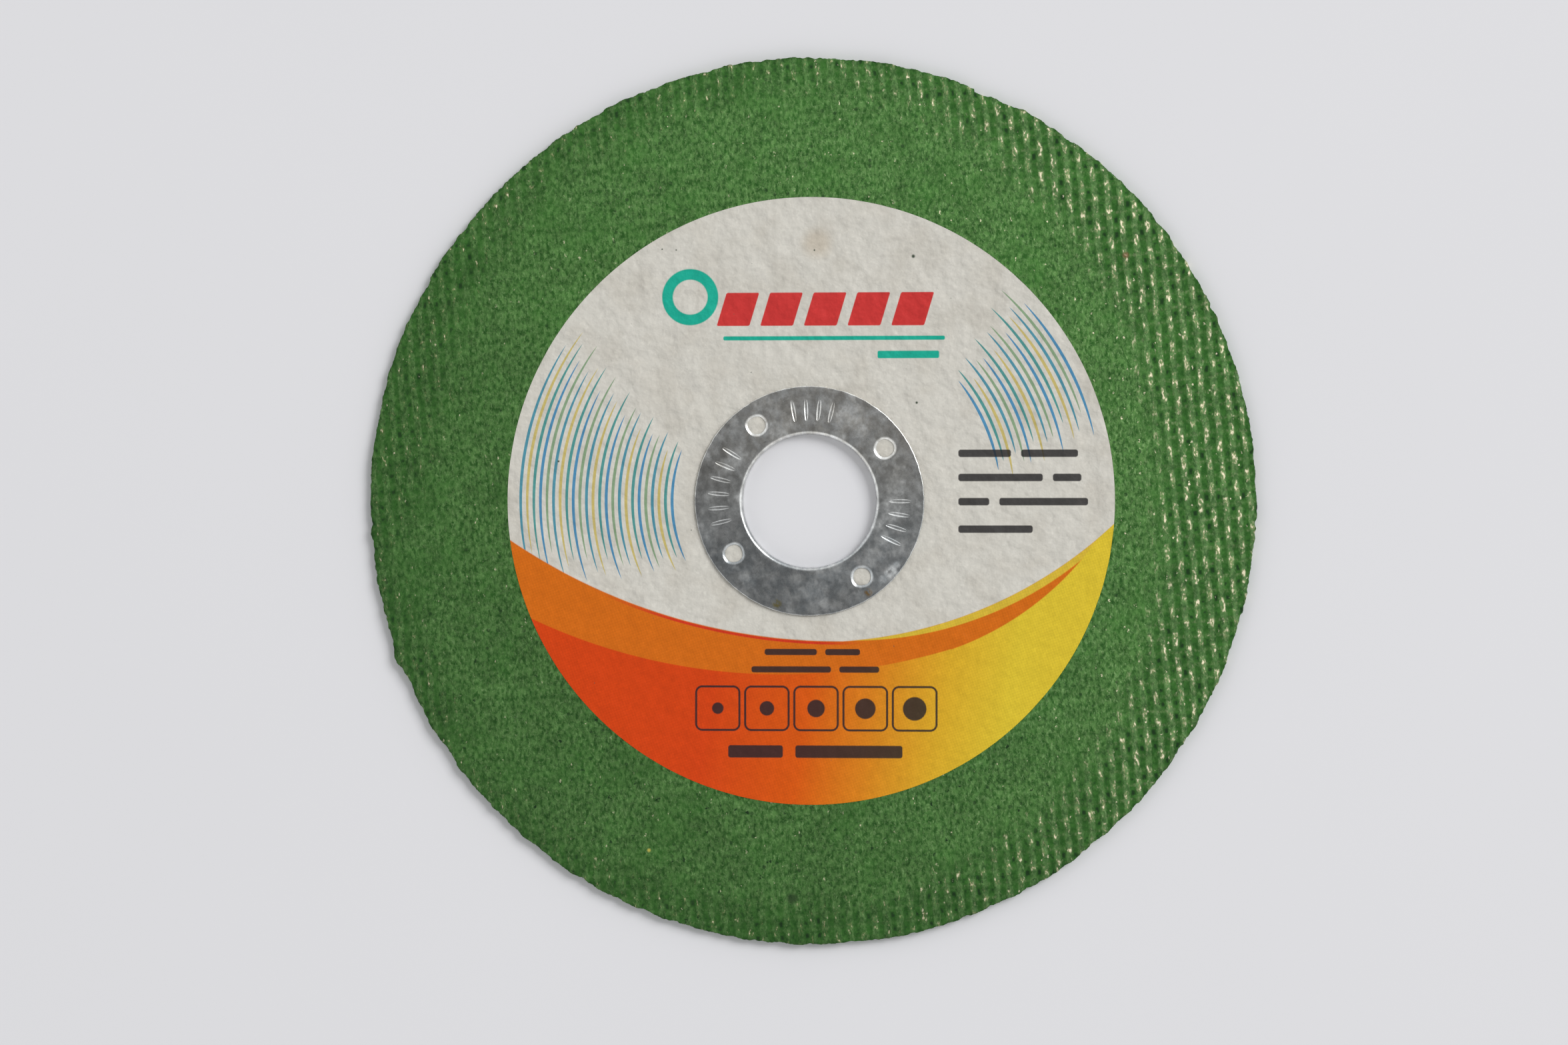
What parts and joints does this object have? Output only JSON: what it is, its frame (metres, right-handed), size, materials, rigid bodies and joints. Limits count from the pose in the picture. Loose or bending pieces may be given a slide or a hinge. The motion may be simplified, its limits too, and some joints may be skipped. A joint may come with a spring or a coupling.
{
  "type": "cut-off wheel",
  "caption": "Thin round cut-off wheel of green resin-bonded abrasive with woven glass-net relief, a round printed paper label and a stamped tinned-steel arbor ring lining its bore.",
  "frame": {"origin": "on the bore axis, in the plane of the back face that the wheel rests on", "axes": "+Z along the bore axis, out of the label side; +Y towards the top of the label"},
  "size_m": [0.107, 0.107, 0.0013],
  "materials": {
    "green_abrasive": "matt, grainy",
    "label_paper": "satin print",
    "tinned_steel": "mottled tin plate"
  },
  "bodies": {
    "root": {"abrasive_wheel": "green_abrasive", "paper_label": "label_paper", "arbor_ring": "tinned_steel"}
  },
  "joints": []
}
